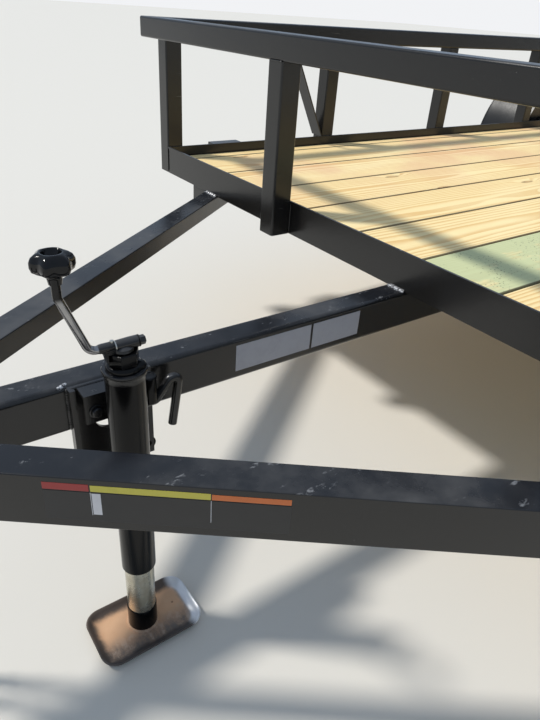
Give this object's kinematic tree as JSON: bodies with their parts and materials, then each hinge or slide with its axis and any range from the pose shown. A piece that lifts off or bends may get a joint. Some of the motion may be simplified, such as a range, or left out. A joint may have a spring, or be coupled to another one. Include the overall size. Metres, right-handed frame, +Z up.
{
  "type": "utility trailer",
  "caption": "Single-axle utility trailer: plank deck between tube rails on posts, three-tube tongue with ball coupler, swivel jack and rear ramp gate.",
  "frame": {"origin": "on the ground, under the middle of the trailer's whole length and width", "axes": "+X forward along the tongue, +Y to the trailer's left side, +Z up"},
  "size_m": [4.978, 2.54, 1.713],
  "materials": {
    "black_paint": "gloss black enamel, dusty and scuffed",
    "zinc": "zinc plated",
    "rusty_zinc": "worn plate with rust",
    "black_plastic": "moulded black plastic",
    "planks": "bare treated pine with grain and knots",
    "tyre_rubber": "black rubber",
    "wheel_paint": "silver wheel paint",
    "chrome": "plated nuts",
    "amber_lens": "amber lens",
    "red_lens": "red lens",
    "hub_steel": "painted casting",
    "spring_steel": "black painted spring steel"
  },
  "bodies": {
    "frame": {"front_rail": "black_paint", "rear_sill": "black_paint", "side_rail_left": "black_paint", "side_rail_right": "black_paint", "crossmembers": "black_paint", "deck_boards": "planks", "corner_posts": "black_paint", "front_posts": "black_paint", "side_posts_left": "black_paint", "side_posts_right": "black_paint", "top_rail_front": "black_paint", "top_rail_left": "black_paint", "top_rail_right": "black_paint", "side_braces": "black_paint", "under_cross_tube": "black_paint", "tongue_center_tube": "black_paint", "tongue_arm_left": "black_paint", "tongue_arm_right": "black_paint", "arm_block_left": "black_paint", "arm_block_right": "black_paint", "coupler": "black_paint", "coupler_latch": "black_paint", "chain_tab": "black_paint", "safety_chain_1": "zinc", "safety_chain_2": "zinc", "jack_mount": "black_paint", "jack_pull_pin": "zinc", "axle": "black_paint", "leaf_spring_left": "spring_steel", "leaf_spring_right": "spring_steel", "spring_hangers": "black_paint", "axle_clamps": "zinc", "fender_left": "black_paint", "fender_right": "black_paint", "fender_stays": "black_paint", "marker_guards": "black_paint", "marker_lamps": "amber_lens", "tail_lamp_boxes": "black_paint", "tail_lamps": "red_lens", "gate_hinge_lugs": "black_paint", "latch_keepers": "black_paint"},
    "wheel_left": {"tyre_left": "tyre_rubber", "rim_left": "wheel_paint", "hub_left": "hub_steel", "wheel_nuts_left": "chrome"},
    "wheel_right": {"tyre_right": "tyre_rubber", "rim_right": "wheel_paint", "hub_right": "hub_steel", "wheel_nuts_right": "chrome"},
    "gate": {"gate_frame": "black_paint", "gate_mesh": "black_paint", "gate_knuckles": "black_paint", "gate_latch_pins": "zinc"},
    "jack": {"jack_tube": "black_paint", "jack_head": "black_paint"},
    "jack_crank": {"jack_crank": "zinc", "jack_knob": "black_plastic"},
    "jack_leg": {"jack_ram": "zinc", "jack_foot": "rusty_zinc"}
  },
  "joints": [
    {"name": "wheel_left_spin", "type": "hinge", "parent": "frame", "child": "wheel_left", "pos_m": [-1.093, 1.153, 0.344], "axis": [0, 1, 0], "continuous": true},
    {"name": "wheel_right_spin", "type": "hinge", "parent": "frame", "child": "wheel_right", "pos_m": [-1.093, -1.153, 0.344], "axis": [0, 1, 0], "continuous": true},
    {"name": "gate_hinge", "type": "hinge", "parent": "frame", "child": "gate", "pos_m": [-2.475, 0, 0.48], "axis": [0, -1, 0], "range_deg": [0, 111.5]},
    {"name": "jack_swivel", "type": "hinge", "parent": "frame", "child": "jack", "pos_m": [1.829, 0.0745, 0.416], "axis": [0, 1, 0], "range_deg": [0, 90]},
    {"name": "jack_crank_turn", "type": "hinge", "parent": "jack", "child": "jack_crank", "pos_m": [1.829, 0.101, 0.547], "axis": [0, 0, 1], "range_deg": [0, 180]},
    {"name": "jack_ram_slide", "type": "slide", "parent": "jack", "child": "jack_leg", "axis": [0, 0, 1], "range_m": [0, 0.08]}
  ],
  "couplings": [
    {"joint": "jack_crank_turn", "follows": "jack_swivel", "ratio": 2}
  ]
}
